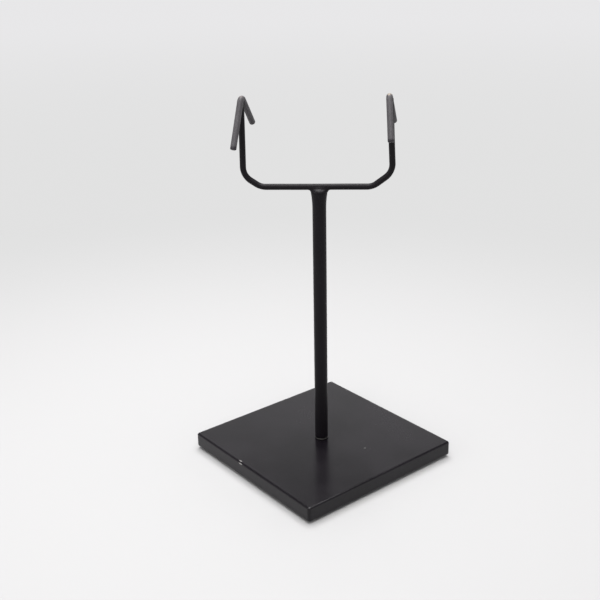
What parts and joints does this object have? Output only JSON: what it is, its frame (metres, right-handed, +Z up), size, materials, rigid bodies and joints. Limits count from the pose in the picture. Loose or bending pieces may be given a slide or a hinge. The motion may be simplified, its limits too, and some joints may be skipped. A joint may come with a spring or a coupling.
{
  "type": "two-hook display stand",
  "caption": "Square plate on thin pads, a screwed-on round post, a U-shaped wire yoke in black painted steel and a grey-coated inverted-V hook at each yoke end.",
  "frame": {"origin": "on the ground below the centre of the base plate, where the post's axis meets it", "axes": "+Z up along the post, +X and +Y along the plate's sides; the yoke's crossbar lies at -43.3 degrees from +X"},
  "size_m": [0.1016, 0.1016, 0.2017],
  "materials": {
    "black_paint": "satin black paint, worn at edges",
    "painted_weld": "satin black paint over a weld bead",
    "bright_steel": "plain zinc-bright steel",
    "pad_rubber": "matt black",
    "grey_coating": "matt dark grey coating, worn through at the apex"
  },
  "bodies": {
    "base": {"base_plate": "black_paint", "pad_front_left": "pad_rubber", "pad_front_right": "pad_rubber", "pad_back_right": "pad_rubber", "pad_back_left": "pad_rubber"},
    "post": {"base_screw": "bright_steel", "foot_washer": "bright_steel", "post": "black_paint", "post_weld": "painted_weld", "yoke": "black_paint", "left_hook": "grey_coating", "left_hook_weld": "painted_weld", "right_hook": "grey_coating", "right_hook_weld": "painted_weld"}
  },
  "joints": [
    {"name": "post_swivel", "type": "hinge", "parent": "base", "child": "post", "pos_m": [0, 0, 0], "axis": [0.0044, -0.0042, 1], "continuous": true}
  ]
}
